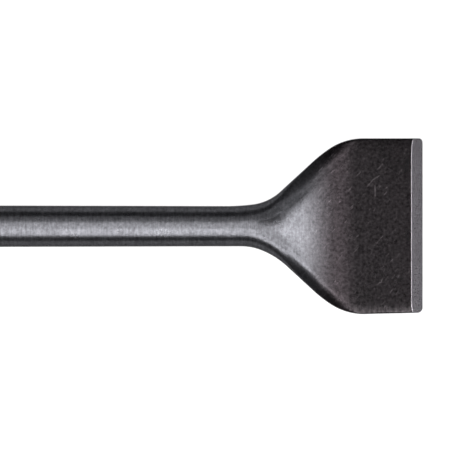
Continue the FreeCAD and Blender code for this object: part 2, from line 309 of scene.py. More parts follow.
def add_row(at_start, share):
    """Copies the first or last row, drawn in to a share of its size."""
    for name, values in rows.items():
        end = values[0] if at_start else values[-1]
        value = share if name == "end_share" else end
        parts = ([value], values) if at_start else (values, [value])
        rows[name] = np.concatenate(parts)


for share in SHANK_RINGS:
    add_row(True, share)
for share in EDGE_RINGS:
    add_row(False, share)
ROW_COUNT = len(rows["place"])
print(f"{ROW_COUNT} rows with both ends closed")

# %% [markdown]
# ## Columns around the bar
# On the shaft the columns are spread evenly around the circle. Towards the head they gather so
# that two groups follow the sides of the blade and two follow its flats. A milled cut has a pair
# of columns at each wall, one on the rim and one that drops to the floor.

# %% Choose the columns
FULL_TURN = 360.0
SIDE_SHARE = 0.085
COLUMN_STEP = 1.8
SLOT_TURNS = (52.5, 127.5, 270.0)
GROOVE_TURNS = (0.0, 180.0)


def spread_angles(begin, end):
    """Angles from begin to end, both kept, at about the even step."""
    return np.linspace(begin, end, max(2, math.ceil((end - begin) / COLUMN_STEP) + 1))


cuts = [(turn, SLOT_HALF, 0.0) for turn in SLOT_TURNS]
cuts += [(turn, GROOVE_HALF, 1.0) for turn in GROOVE_TURNS]
cuts.sort()
ring = []
for number, (turn, half, is_groove) in enumerate(cuts):
    wall = math.degrees(math.asin(half / SHANK_RADIUS))
    toward = (math.cos(math.radians(turn)), math.sin(math.radians(turn)))
    ring += [(angle, *toward, is_groove) for angle in spread_angles(turn - wall, turn + wall)]
    following, next_half, _ = cuts[(number + 1) % len(cuts)]
    following += FULL_TURN if number == len(cuts) - 1 else 0.0
    next_wall = math.degrees(math.asin(next_half / SHANK_RADIUS))
    ring += [(angle, 0.0, 0.0, 0.0) for angle in spread_angles(turn + wall, following - next_wall)]
ring.append((ring[0][0] + FULL_TURN, *ring[0][1:]))
ring = np.array(ring)
COLUMN_COUNT = len(ring)
print(f"{COLUMN_COUNT} columns, about {2 * ROW_COUNT * COLUMN_COUNT} triangles")

# %% Place the columns on the head
def head_angle(shaft_angle):
    """Where a column goes on the head, and its share of the upper side."""
    turn = (shaft_angle / FULL_TURN + SIDE_SHARE) % 1.0 - SIDE_SHARE
    whole = shaft_angle / FULL_TURN - turn
    side = 90.0 - CREASE_ANGLE
    flat_share = 0.5 - 2 * SIDE_SHARE
    narrow = math.cos(math.radians(side))
    if turn <= SIDE_SHARE:
        angle, share = turn / SIDE_SHARE * side, 1.0
    elif turn < 0.5 - SIDE_SHARE:
        share = 1.0 - (turn - SIDE_SHARE) / flat_share
        angle = math.degrees(math.acos(narrow * (2 * share - 1)))
    elif turn <= 0.5 + SIDE_SHARE:
        angle, share = 180.0 + (turn - 0.5) / SIDE_SHARE * side, 0.0
    else:
        share = (turn - 0.5 - SIDE_SHARE) / flat_share
        angle = FULL_TURN - math.degrees(math.acos(narrow * (2 * share - 1)))
    return angle + FULL_TURN * whole, share


on_the_head = np.array([head_angle(angle) for angle in ring[:, 0]])
columns = {
    "shaft_angle": np.radians(ring[:, 0]),
    "head_angle": np.radians(on_the_head[:, 0]),
    "share": on_the_head[:, 1],
    "toward_y": ring[:, 1],
    "toward_z": ring[:, 2],
    "is_groove": ring[:, 3],
}
print(f"a column carries {len(columns)} values")

# %% [markdown]
# ## Helpers for node trees
# Materials and Geometry Nodes are built the same way: add a node, set its options, and give
# each input either a number or another node's output. A shader also wants linear colours, and a
# scale where a maker has a size in millimetres.

# %% Add a node, turn colours and sizes, and start a material
def add(tree, kind, inputs=None, **settings):
    """Adds a node, sets its options, and fills its inputs by name or number."""
    node = tree.nodes.new(kind)
    for name, value in settings.items():
        setattr(node, name, value)
    for key, value in (inputs or {}).items():
        if isinstance(value, bpy.types.NodeSocket):
            tree.links.new(value, node.inputs[key])
        else:
            node.inputs[key].default_value = value
    return node


def linear(hex_colour):
    """An sRGB hex colour as the linear colour that a shader takes."""
    parts = [int(hex_colour[i:i + 2], 16) / 255 for i in (1, 3, 5)]
    return tuple(c / 12.92 if c <= 0.04045 else ((c + 0.055) / 1.055) ** 2.4 for c in parts) + (1.0,)


def pattern_scale(size_mm):
    """The noise scale that gives blotches of a size in millimetres."""
    return 1.0 / (size_mm * MM)


def new_material(name):
    """A material with an empty tree, and its principled shader joined to the output."""
    material = bpy.data.materials.new(name)
    material.use_nodes = True
    tree = material.node_tree
    tree.nodes.clear()
    shader = add(tree, "ShaderNodeBsdfPrincipled")
    add(tree, "ShaderNodeOutputMaterial", {"Surface": shader.outputs["BSDF"]})
    return material, tree, shader


print("mid grey as a shader takes it:", round(linear("#808080")[0], 3))

# %% [markdown]
# ## Forged steel
# Heated steel grows a dark skin of oxide, magnetite, when it cools in air. It is hard, grey
# black and half glossy, so the eye sees broad soft highlights broken by pits where flakes of
# scale were pressed in or fell off. It is a metal to the shader, with a dark colour.
#
# The bar keeps a grey skin, and the blade has a blacker one, partly from hardening at red heat and
# partly painted shade. Between them runs a faint band of brown and purple, the tint that steel takes
# at the edge of the heat.

# %% The colour of the oxide skin
SKIN_BLOTCH = 1.3
CLOUD = 11.0
# The clouds push the band of tint up to this far along the bar, in millimetres
BAND_SHIFT = 4.0
BAND = (250, 285)
BLADE_BLOTCHES = (258, 275)

forged, tree, shader = new_material("forged_oxide_steel")
shader.inputs["Metallic"].default_value = 1.0
shader.inputs["Specular Tint"].default_value = linear("#b0b0b0")
coords = add(tree, "ShaderNodeTexCoord").outputs["Object"]
axes = add(tree, "ShaderNodeSeparateXYZ", {0: coords})
scale_skin = add(tree, "ShaderNodeTexNoise", {
    "Vector": coords, "Scale": pattern_scale(SKIN_BLOTCH), "Detail": 5.0, "Roughness": 0.62,
})
clouds = add(tree, "ShaderNodeTexNoise", {
    "Vector": coords, "Scale": pattern_scale(CLOUD), "Detail": 3.0, "Roughness": 0.5,
})
along = add(tree, "ShaderNodeMath", {
    0: clouds.outputs["Fac"], 1: BAND_SHIFT * MM, 2: axes.outputs["X"],
}, operation="MULTIPLY_ADD")
across_band = add(tree, "ShaderNodeMapRange", {
    "Value": along.outputs[0], "From Min": BAND[0] * MM, "From Max": BAND[1] * MM,
})
heat_and_shade = add(tree, "ShaderNodeValToRGB", {"Fac": across_band.outputs["Result"]})
heat_and_shade.color_ramp.interpolation = "EASE"
# The blade's end of the ramp is partly its blacker hardened skin and partly painted shade
bar_end, blade_end = heat_and_shade.color_ramp.elements
bar_end.position = 0.05
bar_end.color = linear("#454548")
blade_end.position = 0.82
blade_end.color = linear("#1c1a1b")
heat_and_shade.color_ramp.elements.new(0.58).color = linear("#2d292b")
# The blade's skin is blotchier than the bar's, where rolling evened it
blotch = add(tree, "ShaderNodeMapRange", {
    "Value": axes.outputs["X"],
    "From Min": BLADE_BLOTCHES[0] * MM, "From Max": BLADE_BLOTCHES[1] * MM,
    "To Min": 0.32, "To Max": 0.70,
})
darkest = add(tree, "ShaderNodeMath", {0: 1.0, 1: blotch.outputs["Result"]}, operation="SUBTRACT")
lightest = add(tree, "ShaderNodeMath", {0: 1.0, 1: blotch.outputs["Result"]}, operation="ADD")
mottle = add(tree, "ShaderNodeMapRange", {
    "Value": scale_skin.outputs["Fac"], "From Min": 0.3, "From Max": 0.7,
    "To Min": darkest.outputs[0], "To Max": lightest.outputs[0],
})
print("the skin's colour takes", len(tree.nodes), "nodes")

# %% [markdown]
# ## Streaks across the bar
# Rolling and turning left short streaks across the bar, about a millimetre apart. Noise that is
# squeezed along the bar gives them, and it fades toward the blade, which was pressed.

# %% Streaks
STREAK_GAP = 0.8
STREAK_LENGTH = 4.5
STREAK_LIGHT = 0.24
STREAKS_FADE = (235, 260)
STREAKS_LEFT_ON_BLADE = 0.25

streak_space = add(tree, "ShaderNodeMapping", {
    "Vector": coords,
    "Scale": (pattern_scale(STREAK_GAP), pattern_scale(STREAK_LENGTH), pattern_scale(STREAK_LENGTH)),
})
streaks = add(tree, "ShaderNodeTexNoise", {
    "Vector": streak_space.outputs["Vector"], "Scale": 1.0, "Detail": 3.0, "Roughness": 0.6,
})
on_bar = add(tree, "ShaderNodeMapRange", {
    "Value": axes.outputs["X"],
    "From Min": STREAKS_FADE[0] * MM, "From Max": STREAKS_FADE[1] * MM,
    "To Min": 1.0, "To Max": STREAKS_LEFT_ON_BLADE,
}, interpolation_type="SMOOTHSTEP")
streak_light = add(tree, "ShaderNodeMapRange", {
    "Value": streaks.outputs["Fac"], "From Min": 0.3, "From Max": 0.7,
    "To Min": -STREAK_LIGHT, "To Max": STREAK_LIGHT,
})
streak_amount = add(tree, "ShaderNodeMath", {
    0: streak_light.outputs["Result"], 1: on_bar.outputs["Result"], 2: 1.0,
}, operation="MULTIPLY_ADD")
print("streaks every", STREAK_GAP, "mm")

# %% [markdown]
# ## Flecks and scratches
# Flakes of scale pressed into the blade left slanting flecks, a few millimetres long. The peaks
# of a stretched and turned noise make them, because they lie at random. A Mapping node of the
# texture kind turns first and then divides, so its scale is a fleck's own size. The scratches
# are few and have their own places, so each is a line that the shader measures its distance to.

# %% Flecks
FLECK_LENGTH = 4.5
FLECK_WIDTH = 0.8
FLECK_TURN = 50
FLECKS_FROM = (252, 264)

fleck_space = add(tree, "ShaderNodeMapping", {
    "Vector": coords, "Rotation": (0, 0, math.radians(FLECK_TURN)),
    "Scale": (FLECK_LENGTH * MM, FLECK_WIDTH * MM, FLECK_LENGTH * MM),
}, vector_type="TEXTURE")
flecks = add(tree, "ShaderNodeTexNoise", {
    "Vector": fleck_space.outputs["Vector"], "Scale": 1.0, "Detail": 2.0, "Roughness": 0.5,
})
pressed_in = add(tree, "ShaderNodeMapRange", {
    "Value": axes.outputs["X"], "From Min": FLECKS_FROM[0] * MM, "From Max": FLECKS_FROM[1] * MM,
}, interpolation_type="SMOOTHSTEP")
fleck_shape = add(tree, "ShaderNodeMapRange", {
    "Value": flecks.outputs["Fac"], "From Min": 0.64, "From Max": 0.78,
    "To Max": pressed_in.outputs["Result"],
}, interpolation_type="SMOOTHSTEP")
print("flecks of", FLECK_LENGTH, "by", FLECK_WIDTH, "mm")

# %% Scratches and a speck
# Each mark is a chain of points on the blade's upper face, along and across, in millimetres
MARKS = [
    [(280.9, 17.4), (283.1, 20.1), (285.9, 21.9)],
    [(284.0, 17.6), (284.2, 13.1)],
    [(285.2, 24.6), (287.4, 27.0)],
    [(296.6, 31.2), (296.9, 31.5)],
]
FACE_HEIGHT = 2.8
MARK_HALF_WIDTH = 0.5


def nearness(start, end):
    """A field that is 1 on the line between two places and 0 from its half width outward."""
    begin = Vector((*start, FACE_HEIGHT)) * MM
    run = Vector((*end, FACE_HEIGHT)) * MM - begin
    offset = add(tree, "ShaderNodeVectorMath", {0: coords, 1: begin}, operation="SUBTRACT")
    passed = add(tree, "ShaderNodeVectorMath", {
        0: offset.outputs["Vector"], 1: run / run.length_squared,
    }, operation="DOT_PRODUCT")
    share = add(tree, "ShaderNodeMath", {
        0: passed.outputs["Value"], 1: 1.0,
    }, operation="MULTIPLY", use_clamp=True)
    foot = add(tree, "ShaderNodeVectorMath", {0: run, "Scale": share.outputs[0]}, operation="SCALE")
    apart = add(tree, "ShaderNodeVectorMath", {
        0: offset.outputs["Vector"], 1: foot.outputs["Vector"],
    }, operation="DISTANCE")
    return add(tree, "ShaderNodeMapRange", {
        "Value": apart.outputs["Value"], "From Min": MARK_HALF_WIDTH * MM, "From Max": 0.0,
    }, interpolation_type="SMOOTHSTEP").outputs["Result"]


marked = fleck_shape.outputs["Result"]
for chain in MARKS:
    for start, end in zip(chain, chain[1:]):
        marked = add(tree, "ShaderNodeMath", {
            0: marked, 1: nearness(start, end),
        }, operation="MAXIMUM").outputs[0]
print(len(MARKS), "marks on the blade")

# %% [markdown]
# ## A painted highlight on the lower edge
# Along the blade's lower edge, on the side of the lamp in front, a painted highlight makes the skin
# paler. A squeezed noise breaks it into streaks, and two soft ranges keep it to a narrow strip.

# %% Painted highlight on the lower edge, and the skin's colour put together
# A painted highlight: where it lies across and along the blade in millimetres, its streaks, and how
# much it lightens
HIGHLIGHT_ACROSS = (-33.5, -36.8)
HIGHLIGHT_ALONG = (262, 274)
HIGHLIGHT_STREAK_GAP = 0.7
HIGHLIGHT_STREAK_LENGTH = 4.0
HIGHLIGHT_GAIN = 1.6
MARK_LIGHT = 1.1

highlight_across_edge = add(tree, "ShaderNodeMapRange", {
    "Value": axes.outputs["Y"], "From Min": HIGHLIGHT_ACROSS[0] * MM, "From Max": HIGHLIGHT_ACROSS[1] * MM,
}, interpolation_type="SMOOTHSTEP")
highlight_along_edge = add(tree, "ShaderNodeMapRange", {
    "Value": axes.outputs["X"], "From Min": HIGHLIGHT_ALONG[0] * MM, "From Max": HIGHLIGHT_ALONG[1] * MM,
}, interpolation_type="SMOOTHSTEP")
highlight_streak_space = add(tree, "ShaderNodeMapping", {
    "Vector": coords,
    "Scale": (pattern_scale(HIGHLIGHT_STREAK_GAP), pattern_scale(HIGHLIGHT_STREAK_LENGTH), pattern_scale(HIGHLIGHT_STREAK_LENGTH)),
})
highlight_streaks = add(tree, "ShaderNodeTexNoise", {
    "Vector": highlight_streak_space.outputs["Vector"], "Scale": 1.0, "Detail": 2.0, "Roughness": 0.5,
})
streaked_highlight = add(tree, "ShaderNodeMapRange", {
    "Value": highlight_streaks.outputs["Fac"], "From Min": 0.35, "From Max": 0.65,
    "To Min": 0.0, "To Max": HIGHLIGHT_GAIN,
})
painted_highlight = add(tree, "ShaderNodeMath", {
    0: highlight_across_edge.outputs["Result"], 1: highlight_along_edge.outputs["Result"],
}, operation="MULTIPLY")
# The painted highlight is added to the mottled skin in its strip
highlighted_skin = add(tree, "ShaderNodeMath", {
    0: painted_highlight.outputs[0], 1: streaked_highlight.outputs["Result"], 2: mottle.outputs["Result"],
}, operation="MULTIPLY_ADD")
mark_light = add(tree, "ShaderNodeMath", {
    0: marked, 1: MARK_LIGHT, 2: highlighted_skin.outputs[0],
}, operation="MULTIPLY_ADD")
lightness = add(tree, "ShaderNodeMath", {
    0: mark_light.outputs[0], 1: streak_amount.outputs[0],
}, operation="MULTIPLY")
skin = add(tree, "ShaderNodeVectorMath", {
    0: heat_and_shade.outputs["Color"], "Scale": lightness.outputs[0],
}, operation="SCALE")
tree.links.new(skin.outputs["Vector"], shader.inputs["Base Color"])
print("a highlighted strip", round(HIGHLIGHT_ACROSS[0] + HALF_WIDTH, 1), "mm wide")

# %% [markdown]
# ## The feel of the skin
# Oxide isn't equally glossy everywhere, so the roughness follows the clouds. The grain of real
# scale is finer than a pixel here and is drawn at about a millimetre. Streaks, grain and marks
# are a few hundredths of a millimetre deep, so they are bump and not geometry.

# %% Roughness and bump of the skin
GRAIN = 0.9
STREAK_DEPTH = 0.03
GRAIN_DEPTH = 0.04
MARK_DEPTH = 0.03

grain = add(tree, "ShaderNodeTexNoise", {
    "Vector": coords, "Scale": pattern_scale(GRAIN), "Detail": 3.0, "Roughness": 0.6,
})
roughness = add(tree, "ShaderNodeMapRange", {
    "Value": clouds.outputs["Fac"], "From Min": 0.3, "From Max": 0.7, "To Min": 0.26, "To Max": 0.32,
})
tree.links.new(roughness.outputs["Result"], shader.inputs["Roughness"])
streak_bump = add(tree, "ShaderNodeBump", {
    "Height": streaks.outputs["Fac"], "Strength": 1.0, "Distance": STREAK_DEPTH * MM,
})
grain_bump = add(tree, "ShaderNodeBump", {
    "Height": grain.outputs["Fac"], "Strength": 1.0, "Distance": GRAIN_DEPTH * MM,
    "Normal": streak_bump.outputs["Normal"],
})
mark_bump = add(tree, "ShaderNodeBump", {
    "Height": marked, "Strength": 1.0, "Distance": MARK_DEPTH * MM,
    "Normal": grain_bump.outputs["Normal"],
})
tree.links.new(mark_bump.outputs["Normal"], shader.inputs["Normal"])
print("made", forged.name, "with", len(tree.nodes), "nodes")

# %% [markdown]
# ## Ground steel
# The bevels are cut through the dark skin by a grinding wheel, so there the bare grey steel
# shows, with a satin surface. The wheel's lines are a tenth of a millimetre apart or less, too
# fine for this picture, so they are drawn at half a millimetre, and faintly.

# %% Ground steel of the bevels
WHEEL_LINE_GAP = 0.5
WHEEL_LINE_LENGTH = 3.0
WHEEL_LINE_DEPTH = 0.008

ground, tree, shader = new_material("ground_bare_steel")
shader.inputs["Metallic"].default_value = 1.0
shader.inputs["Roughness"].default_value = 0.27
coords = add(tree, "ShaderNodeTexCoord").outputs["Object"]
line_length = pattern_scale(WHEEL_LINE_LENGTH)
wheel_space = add(tree, "ShaderNodeMapping", {
    "Vector": coords, "Scale": (line_length, pattern_scale(WHEEL_LINE_GAP), line_length),
})
wheel_lines = add(tree, "ShaderNodeTexNoise", {
    "Vector": wheel_space.outputs["Vector"], "Scale": 1.0, "Detail": 4.0, "Roughness": 0.6,
})
ground_colour = add(tree, "ShaderNodeValToRGB", {"Fac": wheel_lines.outputs["Fac"]})
in_line, off_line = ground_colour.color_ramp.elements
in_line.position = 0.3
in_line.color = linear("#625f63")
off_line.position = 0.7
off_line.color = linear("#6d6b6f")
tree.links.new(ground_colour.outputs["Color"], shader.inputs["Base Color"])
wheel_bump = add(tree, "ShaderNodeBump", {
    "Height": wheel_lines.outputs["Fac"], "Strength": 1.0, "Distance": WHEEL_LINE_DEPTH * MM,
})
tree.links.new(wheel_bump.outputs["Normal"], shader.inputs["Normal"])
print("made", ground.name, "with", len(tree.nodes), "nodes")

# %% [markdown]
# ## The tool's shape
# A forging is a cross section carried along a line while its size changes, which is a rule, so
# Geometry Nodes suit it. The rows and columns come in as two strings of points that carry their
# values. The tree lays a flat net, reads the row and the column of each of its points, and moves
# the point to its place on the section. Milling, grinding and corners are limits on that place.

# %% Hand the rows and columns over as points
source_mesh = bpy.data.meshes.new("rows_and_columns")
source_mesh.from_pydata([(0, 0, 0)] * (ROW_COUNT + COLUMN_COUNT), [], [])
for carried, before, after in ((rows, 0, COLUMN_COUNT), (columns, ROW_COUNT, 0)):
    for name, values in carried.items():
        layer = source_mesh.attributes.new(name, "FLOAT", "POINT")
        padded = np.concatenate([np.zeros(before), values, np.zeros(after)])
        layer.data.foreach_set("value", padded.astype(np.float32))
source = bpy.data.objects.new("chisel_source", source_mesh)
bpy.context.scene.collection.objects.link(source)
print(len(source_mesh.vertices), "points carry", len(source_mesh.attributes), "layers")

# %% Start the tree and its named inputs
RELIEF_HEIGHT = 0.03
RELIEF_WIDTH = 9.0
SEED = 7.0
INPUTS = {
    "Rows": ("NodeSocketInt", ROW_COUNT),
    "Columns": ("NodeSocketInt", COLUMN_COUNT),
    "Crease Angle": ("NodeSocketFloat", math.radians(CREASE_ANGLE)),
    "Relief Height": ("NodeSocketFloat", RELIEF_HEIGHT * MM),
    "Relief Width": ("NodeSocketFloat", RELIEF_WIDTH * MM),
    "Seed": ("NodeSocketFloat", SEED),
    "Skin": ("NodeSocketMaterial", forged),
    "Bevel Face": ("NodeSocketMaterial", ground),
}

shape = bpy.data.node_groups.new("forged_chisel", "GeometryNodeTree")
shape.interface.new_socket("Geometry", in_out="INPUT", socket_type="NodeSocketGeometry")
shape.interface.new_socket("Geometry", in_out="OUTPUT", socket_type="NodeSocketGeometry")
for name, (kind, _) in INPUTS.items():
    shape.interface.new_socket(name, in_out="INPUT", socket_type=kind)
group_in = add(shape, "NodeGroupInput").outputs
print("the tree's inputs:", ", ".join(INPUTS))

# %% Lay the net and read each point's row and column
net = add(shape, "GeometryNodeMeshGrid", {
    "Size X": 1.0, "Size Y": 1.0, "Vertices X": group_in["Rows"], "Vertices Y": group_in["Columns"],
})
index = add(shape, "GeometryNodeInputIndex").outputs[0]
# Half a point is added, so that rounding can't put a row's first point on the row before
middle = add(shape, "ShaderNodeMath", {0: index, 1: 0.5}, operation="ADD")
passed = add(shape, "ShaderNodeMath", {
    0: middle.outputs[0], 1: group_in["Columns"],
}, operation="DIVIDE")
row = add(shape, "ShaderNodeMath", {0: passed.outputs[0]}, operation="FLOOR")
row_start = add(shape, "ShaderNodeMath", {
    0: row.outputs[0], 1: group_in["Columns"],
}, operation="MULTIPLY")
column = add(shape, "ShaderNodeMath", {0: index, 1: row_start.outputs[0]}, operation="SUBTRACT")
column_point = add(shape, "ShaderNodeMath", {
    0: column.outputs[0], 1: group_in["Rows"],
}, operation="ADD")

value = {"crease_angle": group_in["Crease Angle"]}
for carried, point in ((rows, row), (columns, column_point)):
    for name in carried:
        field = add(shape, "GeometryNodeInputNamedAttribute", {"Name": name}, data_type="FLOAT")
        value[name] = add(shape, "GeometryNodeSampleIndex", {
            "Geometry": group_in["Geometry"], "Value": field.outputs[0], "Index": point.outputs[0],
        }, data_type="FLOAT", domain="POINT").outputs[0]
print("each point of the net reads", len(value) - 1, "values")

# %% [markdown]
# ## The formula of a point
# The place of a point is worked out in small steps, as on paper. A step names its result, says
# what to do, and lists what goes in: an earlier result, a value of the row or column, or a
# number. Written so, the formula can be read from top to bottom, and one loop adds its nodes.

# %% Place the point on the section
formula = [
    ("to_head", "SUBTRACT", "head_angle", "shaft_angle"),
    ("turned", "MULTIPLY_ADD", "spread", "to_head", "shaft_angle"),
    # A flat stands at the height where the crease angle ends the side's arc
    ("crease_height", "COSINE", "crease_angle"),
    ("below_round", "SUBTRACT", "crease_height", 1.0),
    ("flat_top", "MULTIPLY_ADD", "round", "below_round", 1.0),
    ("flat_bottom", "MULTIPLY", "flat_top", -1.0),
    ("around", "SINE", "turned"),
    ("under_top", "MINIMUM", "around", "flat_top"),
    ("up", "MAXIMUM", "under_top", "flat_bottom"),
    # Across the tool a side is an arc about its own centre, and the flats lie between the two
    ("upper_centre", "SUBTRACT", "upper", "upper_side"),
    ("lower_centre", "SUBTRACT", "lower_side", "lower"),
    ("centre_gap", "SUBTRACT", "upper_centre", "lower_centre"),
    ("centre", "MULTIPLY_ADD", "share", "centre_gap", "lower_centre"),
    ("side_gap", "SUBTRACT", "upper_side", "lower_side"),
    ("side", "MULTIPLY_ADD", "share", "side_gap", "lower_side"),
    ("along_arc", "COSINE", "turned"),
    ("aside", "MULTIPLY_ADD", "side", "along_arc", "centre"),
    # The crown lets the height fall toward both sides
    ("off_middle", "MULTIPLY_ADD", "share", 2.0, -1.0),
    ("squared", "MULTIPLY", "off_middle", "off_middle"),
    ("fall", "MULTIPLY", "crown", "squared"),
    ("kept", "SUBTRACT", 1.0, "fall"),
    ("round_height", "MULTIPLY", "edge", "up"),
    ("height", "MULTIPLY", "round_height", "kept"),
]
print(len(formula), "steps to the section")

# %% Slant the sides
# A little height is kept at the rim, so that the upper and lower faces never fall together
THINNEST_SHARE = 0.05
formula += [
    # From the rim at each side a face climbs inward
    ("in_from_upper", "SUBTRACT", "upper", "aside"),
    ("in_from_lower", "ADD", "lower", "aside"),
    ("upper_face", "MULTIPLY_ADD", "in_from_upper", "upper_rise", "rim"),
    ("lower_face", "MULTIPLY_ADD", "in_from_lower", "lower_rise", "rim"),
    ("face", "MINIMUM", "upper_face", "lower_face"),
    # A soft minimum rounds the face into the top, above and below alike
    ("thickness", "ABSOLUTE", "height"),
    ("slanted", "SMOOTH_MIN", "thickness", "face", "blend"),
    ("thinnest", "MULTIPLY", "thickness", THINNEST_SHARE),
    ("thickness", "MAXIMUM", "slanted", "thinnest"),
    ("above_or_below", "SIGN", "height"),
    ("height", "MULTIPLY", "above_or_below", "thickness"),
]
print(len(formula), "steps with the slanting faces")

# %% Mill, grind and round the corners
formula += [
    # What stands out over a milled floor drops to it
    ("floor_gap", "SUBTRACT", "groove_floor", "slot_floor"),
    ("floor_here", "MULTIPLY_ADD", "is_groove", "floor_gap", "slot_floor"),
    ("outward_z", "MULTIPLY", "height", "toward_z"),
    ("outward", "MULTIPLY_ADD", "aside", "toward_y", "outward_z"),
    ("over_floor", "SUBTRACT", "outward", "floor_here"),
    ("drop", "MAXIMUM", "over_floor", 0.0),
    ("drop_y", "MULTIPLY", "drop", "toward_y"),
    ("drop_z", "MULTIPLY", "drop", "toward_z"),
    ("aside", "SUBTRACT", "aside", "drop_y"),
    ("height", "SUBTRACT", "height", "drop_z"),
    # The lid is the height that grinding leaves
    ("thickness", "ABSOLUTE", "height"),
    ("over_bevel", "SUBTRACT", "thickness", "bevel"),
    ("lid_below", "MULTIPLY", "lid", -1.0),
    ("height", "MINIMUM", "height", "lid"),
    ("height", "MAXIMUM", "height", "lid_below"),
    # The corners limit the width, and the closing rows draw everything in
    ("lower_stop", "MULTIPLY", "lower_limit", -1.0),
    ("aside", "MINIMUM", "aside", "upper_limit"),
    ("aside", "MAXIMUM", "aside", "lower_stop"),
    ("aside", "MULTIPLY", "aside", "end_share"),
    ("height", "MULTIPLY", "height", "end_share"),
]
print(len(formula), "steps in all")

# %% Add the formula's nodes and move the net's points
# A point counts as ground from just under the bevel's height, in millimetres
GROUND_MARGIN = 0.03
for name, operation, *given in formula:
    sources = {number: value.get(source, source) for number, source in enumerate(given)}
    value[name] = add(shape, "ShaderNodeMath", sources, operation=operation).outputs[0]

is_ground = add(shape, "FunctionNodeCompare", {
    0: value["over_bevel"], 1: -GROUND_MARGIN,
}, data_type="FLOAT", operation="GREATER_THAN")
with_marks = net.outputs["Mesh"]
for name, mark in (("relief", value["forged"]), ("ground", is_ground.outputs[0])):
    with_marks = add(shape, "GeometryNodeStoreNamedAttribute", {
        "Geometry": with_marks, "Name": name, "Value": mark,
    }, data_type="FLOAT", domain="POINT").outputs["Geometry"]
place = add(shape, "ShaderNodeCombineXYZ", {
    "X": value["place"], "Y": value["aside"], "Z": value["height"],
})
metres = add(shape, "ShaderNodeVectorMath", {0: place.outputs[0], "Scale": MM}, operation="SCALE")
placed = add(shape, "GeometryNodeSetPosition", {
    "Geometry": with_marks, "Position": metres.outputs["Vector"],
})
print("the shape's tree has", len(shape.nodes), "nodes so far")

# %% [markdown]
# ## Seams, unevenness and finishes
# The net's first and last columns meet, and so do the points that close an end, so points that
# lie together are merged. A forging is never quite even: a wide, low noise moves the skin by a
# few hundredths of a millimetre. Edges that are sharp on the tool stay sharp in the shading.

# %% Close the seams and add the forge's unevenness
# Points nearer to each other than this, in millimetres, become one
MERGE_WITHIN = 0.001
# The noise is taken from this level, so that most of the skin lies a little inward
RELIEF_LEVEL = 0.8
RELIEF_CONTRAST = 2.0

turned_out = add(shape, "GeometryNodeFlipFaces", {"Mesh": placed.outputs["Geometry"]})
closed = add(shape, "GeometryNodeMergeByDistance", {
    "Geometry": turned_out.outputs["Mesh"], "Distance": MERGE_WITHIN * MM,
})
swell_scale = add(shape, "ShaderNodeMath", {0: 1.0, 1: group_in["Relief Width"]}, operation="DIVIDE")
swell = add(shape, "ShaderNodeTexNoise", {
    "Vector": add(shape, "GeometryNodeInputPosition").outputs[0], "W": group_in["Seed"],
    "Scale": swell_scale.outputs[0], "Detail": 2.0,
}, noise_dimensions="4D")
relief = add(shape, "GeometryNodeInputNamedAttribute", {"Name": "relief"}, data_type="FLOAT")
lowered = add(shape, "ShaderNodeMath", {
    0: swell.outputs["Fac"], 1: RELIEF_LEVEL,
}, operation="SUBTRACT")
strengthened = add(shape, "ShaderNodeMath", {
    0: lowered.outputs[0], 1: RELIEF_CONTRAST,
}, operation="MULTIPLY")
height_here = add(shape, "ShaderNodeMath", {
    0: relief.outputs[0], 1: group_in["Relief Height"],
}, operation="MULTIPLY")
push = add(shape, "ShaderNodeMath", {
    0: strengthened.outputs[0], 1: height_here.outputs[0],
}, operation="MULTIPLY")
offset = add(shape, "ShaderNodeVectorMath", {
    0: add(shape, "GeometryNodeInputNormal").outputs[0], "Scale": push.outputs[0],
}, operation="SCALE")
uneven = add(shape, "GeometryNodeSetPosition", {
    "Geometry": closed.outputs["Geometry"], "Offset": offset.outputs["Vector"],
})
print("unevenness", RELIEF_HEIGHT, "mm high and", RELIEF_WIDTH, "mm wide")

# %% Shade the edges and give each face its finish
# An edge that turns by more than this, in degrees, is shaded as sharp
SHARP_OVER = 22
# A face is bare steel when this share of its corners is ground
GROUND_SHARE = 0.6

smooth = add(shape, "GeometryNodeSetShadeSmooth", {
    "Geometry": uneven.outputs["Geometry"], "Shade Smooth": True,
}, domain="FACE")
sharp = add(shape, "FunctionNodeCompare", {
    0: add(shape, "GeometryNodeInputMeshEdgeAngle").outputs[0], 1: math.radians(SHARP_OVER),
}, data_type="FLOAT", operation="GREATER_THAN")
creased = add(shape, "GeometryNodeSetShadeSmooth", {
    "Geometry": smooth.outputs["Geometry"], "Selection": sharp.outputs[0], "Shade Smooth": False,
}, domain="EDGE")
ground_mark = add(shape, "GeometryNodeInputNamedAttribute", {"Name": "ground"}, data_type="FLOAT")
ground_faces = add(shape, "FunctionNodeCompare", {
    0: ground_mark.outputs[0], 1: GROUND_SHARE,
}, data_type="FLOAT", operation="GREATER_THAN")
real = add(shape, "GeometryNodeRealizeInstances", {"Geometry": creased.outputs["Geometry"]})
skinned = add(shape, "GeometryNodeSetMaterial", {
    "Geometry": real.outputs[0], "Material": group_in["Skin"],
})
finished = add(shape, "GeometryNodeSetMaterial", {
    "Geometry": skinned.outputs[0], "Selection": ground_faces.outputs[0],
    "Material": group_in["Bevel Face"],
})
add(shape, "NodeGroupOutput", {"Geometry": finished.outputs[0]})
print("the shape's tree has", len(shape.nodes), "nodes")

